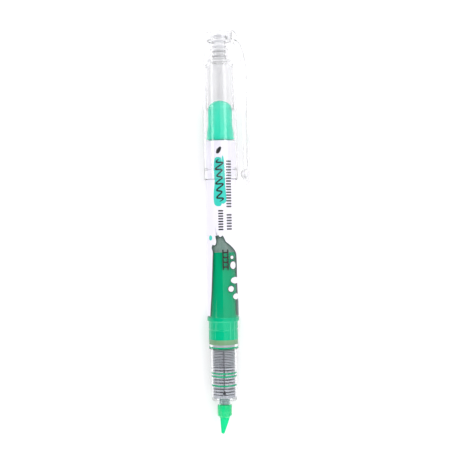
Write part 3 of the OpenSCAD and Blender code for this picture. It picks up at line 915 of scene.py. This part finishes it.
# hollow tail plug with its bead and flared foot
plug = {"bead": 5.25, "beadHigh": 0.8, "beadInset": 0.2, "body": 4.5, "hollow": 3.3, "flareLong": 5.6,
        "flareHold": 0.2, "domeHigh": 3.5, "gap": 0.01, "steps": 14}
beadFront = barrelBack
flareFront = beadFront + plug["beadHigh"]
domeFront = plugBack - plug["domeHigh"]
outline = [
    (plug["hollow"], plugFront, 0.1),
    (barrelAt(plugFront) - barrel["wall"] - plug["gap"], plugFront, 0.2),
    (barrel["back"] - barrel["wall"] - plug["gap"], beadFront + plug["gap"]),
    (plug["bead"], beadFront + plug["gap"], 0.2),
    (plug["bead"], flareFront, 0.25),
]
flare = plug["bead"] - plug["beadInset"] - plug["body"]
outline.append((plug["body"] + flare, flareFront, 0.15))
for k in range(plug["steps"] + 1):
    share = k / plug["steps"]
    outline.append((
        plug["body"] + flare * (1 + math.cos(math.pi * share)) / 2,
        flareFront + plug["flareLong"] * mix(plug["flareHold"], 1, share),
    ))
for k in range(plug["steps"]):
    a = math.radians(90 * k / plug["steps"])
    outline.append((plug["body"] * math.cos(a), domeFront + plug["domeHigh"] * math.sin(a)))
outline += [(0, plugBack), (0, domeFront), (plug["hollow"], domeFront, 0.8)]
turned("tail_cone", outline, "pen", "tail_plug", finish["plugGreen"], ["tail_plug"])

# inner cap with the socket that turns on the crown's stem
inner = {"bore": 4.7, "outer": 5.2, "floor": 1.0, "bevel": 2.0, "socket": 2.55, "socketWall": 0.6,
         "socketLong": 4.1}
innerEnd = socketBack - inner["socketLong"]
turned("inner_cap_cup", [
    (inner["bore"], rimFront, 0.12),
    (inner["outer"], rimFront, 0.12),
    (inner["outer"], innerEnd - inner["bevel"], 0.5),
    (inner["outer"] - inner["bevel"] / 2, innerEnd, 0.4),
    (inner["socket"] + inner["socketWall"], innerEnd, 0.25),
    (inner["socket"] + inner["socketWall"], socketBack, 0.15),
    (inner["socket"], socketBack, 0.15),
    (inner["socket"], innerEnd),
    (0, innerEnd),
    (0, innerEnd - inner["floor"]),
    (inner["bore"] - inner["bevel"] / 2, innerEnd - inner["floor"], 0.5),
    (inner["bore"], innerEnd - inner["floor"] - inner["bevel"], 0.5),
], "inner_cap", "inner_cap", finish["innerCapClear"], ["inner_cap"])

# clear tapered cap tube
cap = {"outer": 6.225, "bore": 5.7, "taperLong": 16.5, "crown": 4.925, "wall": 0.525, "snapAt": 3.9,
       "snapWide": 0.8, "snapClear": 0.03, "mouthBevel": 0.15}
taperFront = tubeBack - cap["taperLong"]
snapHeight = capMouth + cap["snapAt"]
snapRadius = barrelAt(snapHeight - cap["snapWide"] / 2) + film["outer"] + cap["snapClear"]
turned("cap_sleeve", [
    (cap["bore"] + cap["mouthBevel"], capMouth, 0.08),
    (cap["outer"] - cap["mouthBevel"], capMouth, 0.1),
    (cap["outer"], capMouth + 0.2, 0.2),
    (cap["outer"], taperFront, 3.0),
    (cap["crown"], tubeBack),
    (cap["crown"] - cap["wall"], tubeBack),
    (cap["bore"], taperFront, 3.0),
    (cap["bore"], snapHeight + cap["snapWide"] / 2, 0.3),
    (snapRadius, snapHeight + cap["snapWide"] / 4, 0.15),
    (snapRadius, snapHeight - cap["snapWide"] / 4, 0.15),
    (cap["bore"], snapHeight - cap["snapWide"] / 2, 0.3),
    (cap["bore"], capMouth + 0.3, 0.2),
], "cap", "cap", finish["capClear"], ["cap_tube"])

# domed crown with its ribbed stem, and the shoulder that carries the clip
crown = {"flat": 1.5, "skirtLong": 3.3, "skirtWall": 0.7, "skirtGap": 0.02, "stem": 2.225, "rib": 2.525,
         "stemGap": 0.1, "ribLong": 0.9, "ribPitch": 1.8, "ribs": 5, "ribAt": 0.6, "steps": 12,
         "tubeGap": 0.005, "shadeFrom": 1.2, "shadeReach": 0.1}
clip = {"inner": 9.925, "outer": 11.075, "wide": 4.8, "endWide": 4.2, "corner": 0.3, "shoulder": 15.9,
        "join": 0.01, "footDeep": 1.3, "footLong": 4.0, "footFromEnd": 2.0}
stemFront = innerEnd + crown["stemGap"]


def crownOutline():
    bore = cap["crown"] - cap["wall"]
    skirtFront = tubeBack - crown["skirtLong"]
    slope = (cap["outer"] - cap["crown"]) / cap["taperLong"]
    outline = [(0, stemFront), (crown["stem"], stemFront, 0.15)]
    for k in range(crown["ribs"]):
        front = stemFront + crown["ribAt"] + k * crown["ribPitch"]
        back = front + crown["ribLong"]
        outline += [
            (crown["stem"], front, 0.08), (crown["rib"], front, 0.15), (crown["rib"], back, 0.15),
            (crown["stem"], back, 0.08),
        ]
    outline += [
        (crown["stem"], tubeBack, 0.4), (bore - crown["skirtWall"], tubeBack, 0.4),
        (bore - crown["skirtWall"], skirtFront, 0.1),
        (bore - crown["skirtGap"] + slope * crown["skirtLong"], skirtFront, 0.1),
        (bore - crown["skirtGap"], tubeBack + crown["tubeGap"]),
    ]
    for k in range(crown["steps"] + 1):
        a = math.radians(90 * k / crown["steps"])
        outline.append((
            crown["flat"] + (cap["crown"] - crown["flat"]) * math.cos(a),
            mix(tubeBack + crown["tubeGap"], crownBack, math.sin(a)),
        ))
    return outline + [(0, crownBack)]


def clipBar(bm, stations):
    # each station is (inner point, outer point, width), points as (out, height)
    rings = []
    for inside, outside, wide in stations:
        inside, outside = Vector(inside), Vector(outside)
        thick = (outside - inside).length
        up = (outside - inside).normalized()
        corner = min(clip["corner"], 0.45 * thick, 0.45 * wide)
        ring = []
        for turn, signX, signY in ((0, 1, 1), (90, -1, 1), (180, -1, -1), (270, 1, -1)):
            for k in range(5):
                a = math.radians(turn + 22.5 * k)
                along = signX * (thick / 2 - corner) + corner * math.cos(a)
                side = signY * (wide / 2 - corner) + corner * math.sin(a)
                point = (inside + outside) / 2 + up * along
                ring.append(bm.verts.new(placeClip(point.x, side, point.y)))
        rings.append(ring)
    skinned(bm, rings)


def spaced(line, count):
    # the same line with points at even spacing
    points = [Vector(p) for p in line]
    lengths = [0]
    for a, b in zip(points, points[1:]):
        lengths.append(lengths[-1] + (b - a).length)
    even, i = [], 0
    for k in range(count):
        goal = lengths[-1] * k / (count - 1)
        while i < len(points) - 2 and lengths[i + 1] < goal:
            i += 1
        share = (goal - lengths[i]) / (lengths[i + 1] - lengths[i])
        even.append(points[i].lerp(points[i + 1], share))
    return even


shoulder = {
    "outer": [(1, 0), (0.985, 0.15), (0.965, 0.29), (0.91, 0.45), (0.845, 0.6), (0.73, 0.715), (0.6, 0.82),
              (0.47, 0.93), (0.3, 1.02), (0.1, 1.09)],
    "inner": [(1, 0), (0.985, 0.14), (0.95, 0.275), (0.87, 0.42), (0.74, 0.56), (0.595, 0.65), (0.435, 0.74),
              (0.255, 0.815)],
    "stations": 40, "gap": 0.03, "rootOut": 0.75, "rootHigh": 0.6, "rootLow": 0.86, "cutShare": 0.6,
}


def shoulderLine(face, rootHeight):
    # one face of the shoulder, from the arm to its root in the crown
    line = [
        (mix(cap["crown"], clip[face], u), armBack + clip["join"] + clip["shoulder"] * z)
        for u, z in shoulder[face]
    ] + [(cap["crown"] * shoulder["rootOut"], rootHeight)]
    return spaced(smoothLine(line), shoulder["stations"])


def joined(base, other, operation):
    # merges or cuts with another mesh and leaves one clean mesh
    change = base.modifiers.new("merge", "BOOLEAN")
    change.operation = operation
    change.solver = "EXACT"
    change.object = other
    bpy.context.view_layer.update()
    result = bpy.data.meshes.new_from_object(base.evaluated_get(bpy.context.evaluated_depsgraph_get()))
    base.modifiers.clear()
    base.data = result
    bpy.data.objects.remove(other)


bm = bmesh.new()
clipBar(bm, [(inside, outside, clip["wide"]) for inside, outside in zip(
    shoulderLine("inner", armBack + clip["shoulder"] * shoulder["rootLow"]),
    shoulderLine("outer", mix(tubeBack, crownBack, shoulder["rootHigh"])),
)])
shoulderPart = objectFrom(bm, "shoulderPart")
cutRadius = cap["crown"] + shoulder["gap"]
cutSlope = (cap["outer"] - cap["crown"]) / cap["taperLong"]
cutDepth = shoulder["cutShare"] * cap["taperLong"]
cutter = objectFrom(lathe(bmesh.new(), [
    (0, tubeBack - cutDepth), (cutRadius + cutSlope * cutDepth, tubeBack - cutDepth),
    (cutRadius, tubeBack + 0.004), (0, tubeBack + 0.004),
]), "cutter")
joined(shoulderPart, cutter, "DIFFERENCE")
crownPart = objectFrom(lathe(bmesh.new(), crownOutline()), "crownPart")
joined(crownPart, shoulderPart, "UNION")
bm = bmesh.new()
bm.from_mesh(crownPart.data)
bpy.data.objects.remove(crownPart)
bmesh.ops.remove_doubles(bm, verts=bm.verts, dist=1e-7)
crownPiece = addPiece("crown_and_shoulder", bm, "cap", finish["capClear"], ["clip_crown"])
# the upper faces of the stem's ribs get the darker smoky plastic: painted shade for the dark bars that the
# ribs show
crownPiece.data.materials.append(finish["ribSmoke"])
ribFronts = [stemFront + crown["ribAt"] + k * crown["ribPitch"] for k in range(crown["ribs"])]
for polygon in crownPiece.data.polygons:
    out = math.hypot(polygon.center.x - axisX, polygon.center.z - axisZ) / mm
    height = (polygon.center.y - tipY) / mm
    onRib = any(-0.01 < height - front < crown["ribLong"] + 0.01 for front in ribFronts)
    onTop = polygon.center.z > axisZ + crown["shadeFrom"] * mm
    if onRib and onTop and crown["stem"] - crown["shadeReach"] < out < crown["rib"] + crown["shadeReach"]:
        polygon.material_index = 1

# springy clip arm with its foot and rounded end
footFront = armFront + clip["footFromEnd"]


def armStations():
    stations = []
    endRadius = clip["endWide"] / 2
    heights = [armFront + endRadius * (1 - math.cos(math.radians(9 * k))) for k in range(11)]
    heights += [footFront + clip["footLong"] * k / 16 for k in range(1, 18)]
    heights += [mix(footFront + clip["footLong"], armBack, k / 24) for k in range(2, 25)]
    for height in sorted(h for h in heights if h <= armBack):
        share = (height - armFront) / (armBack - armFront)
        wide = mix(clip["endWide"], clip["wide"], share)
        if height < armFront + endRadius:
            drop = armFront + endRadius - height
            wide = 2 * max(0.35, math.sqrt(max(0, endRadius ** 2 - drop ** 2)))
        inside = clip["inner"]
        if height < footFront:
            inside += 0.3 * (1 - (height - armFront) / clip["footFromEnd"])
        foot = (height - footFront) / clip["footLong"]
        if 0 < foot < 1:
            inside -= clip["footDeep"] * math.sin(math.pi * foot) ** 1.3
        stations.append(((inside, height), (clip["outer"], height), wide))
    return stations


bm = bmesh.new()
clipBar(bm, armStations())
addPiece("clip_spring", bm, "clip", finish["capClear"], ["clip_arm"])
print("plug, inner cap, cap and clip built")


# pale floor
ground = {"size": 1600, "cells": 24, "drop": 0.02, "color": (0.82, 0.82, 0.83), "second": (0.81, 0.81, 0.825),
          "drift": 60.0, "glow": 0.22, "roughness": 0.6, "specular": 0.2}
material, tree, shader, output = newMaterial("floorPaper")
drift = groupIn(tree, colourDrift, {
    "Color": (*ground["color"], 1), "Second": (*ground["second"], 1), "Size": ground["drift"], "Amount": 0.5,
})
link(tree, drift.outputs["Color"], shader.inputs["Base Color"])
shader.inputs["Roughness"].default_value = ground["roughness"]
shader.inputs["Specular IOR Level"].default_value = ground["specular"]
shader.inputs["Emission Color"].default_value = (1, 1, 1, 1)
shader.inputs["Emission Strength"].default_value = ground["glow"]
bm = bmesh.new()
bmesh.ops.create_grid(
    bm, x_segments=ground["cells"], y_segments=ground["cells"], size=ground["size"] / 2 * mm,
)
floor = objectFrom(bm, "floor")
floor.data.materials.append(material)
floor.location = (0, 0, -ground["drop"] * mm)


# soft lights: degrees from overhead toward the clip and toward the tail, distance, width, length, radiance
lamps = {
    "softboxClipSide": (42, 0, 520, 480, 900, 0.68),
    "softboxFarSide": (-60, -24, 560, 200, 300, 0.9),
    "softboxNib": (0, -50, 620, 700, 500, 1.05),
    "softboxTail": (0, 50, 620, 700, 500, 1.05),
    "stripClipSide": (36, 14, 480, 240, 150, 2.1),
    "stripFarSide": (-57, 14, 480, 200, 150, 2.8),
}
for name, (aside, ahead, distance, wide, long, radiance) in lamps.items():
    data = bpy.data.lights.new(name, "AREA")
    data.shape = "RECTANGLE"
    data.size = wide * mm
    data.size_y = long * mm
    data.energy = radiance * math.pi * wide * long * mm * mm
    lamp = bpy.data.objects.new(name, data)
    a, b = math.radians(aside), math.radians(ahead)
    toward = Vector((math.sin(a) * math.cos(b), math.sin(b), math.cos(a) * math.cos(b)))
    lamp.location = Vector((axisX, 0, axisZ)) + toward * distance * mm
    lamp.rotation_euler = toward.to_track_quat("Z", "Y").to_euler()
    bpy.context.scene.collection.objects.link(lamp)

# a bright tent with a dark slit right over the barrel and a brighter end behind the tail
sky = {"bright": 0.68, "slit": 0.06, "wallLow": 0.1, "wallHigh": 0.45, "slitFrom": 0.05, "slitHalf": 0.13,
       "slitEdge": 0.05, "tail": 0.9, "tailFrom": 0.1, "tailTo": 0.16}
world = bpy.data.worlds.new("studio")
bpy.context.scene.world = world
world.use_nodes = True
tree = world.node_tree
background = tree.nodes["Background"]
background.inputs["Strength"].default_value = 1
around = addNode(tree, "TexCoord")
parts = addNode(tree, "SeparateXYZ")
link(tree, around.outputs["Generated"], parts.inputs[0])
off = mathNode(tree, "ABSOLUTE", mathNode(tree, "ADD", parts.outputs["Y"], sky["slitFrom"]), 0.0)
outside = rangeNode(tree, off, sky["slitHalf"], sky["slitHalf"] + sky["slitEdge"])
wallShare = rangeNode(tree, parts.outputs["Z"], sky["wallLow"], sky["wallHigh"], 1.0, 0.0)
share = mathNode(tree, "MAXIMUM", outside, wallShare)
bright = rangeNode(tree, parts.outputs["Y"], sky["tailFrom"], sky["tailTo"], sky["bright"], sky["tail"])
dimming = rangeNode(tree, share, 0.0, 1.0, sky["slit"] / sky["bright"], 1.0)
link(tree, mathNode(tree, "MULTIPLY", dimming, bright), background.inputs["Color"])

# camera straight above
view = {"aside": 1.22, "height": 77.8, "distance": 330, "width": 168.4, "roll": -0.93}
camera = bpy.data.objects.new("camera", bpy.data.cameras.new("camera"))
camera.data.sensor_width = 36
camera.data.lens = 36 * view["distance"] / view["width"]
camera.data.clip_start = 0.01
camera.data.clip_end = 20
camera.location = place(0, 0, view["height"]) + Vector((view["aside"], 0, view["distance"])) * mm
camera.rotation_euler = (0, 0, math.radians(view["roll"]))
bpy.context.scene.collection.objects.link(camera)
bpy.context.scene.camera = camera
bpy.context.scene.view_settings.view_transform = "Standard"
print("stage ready")
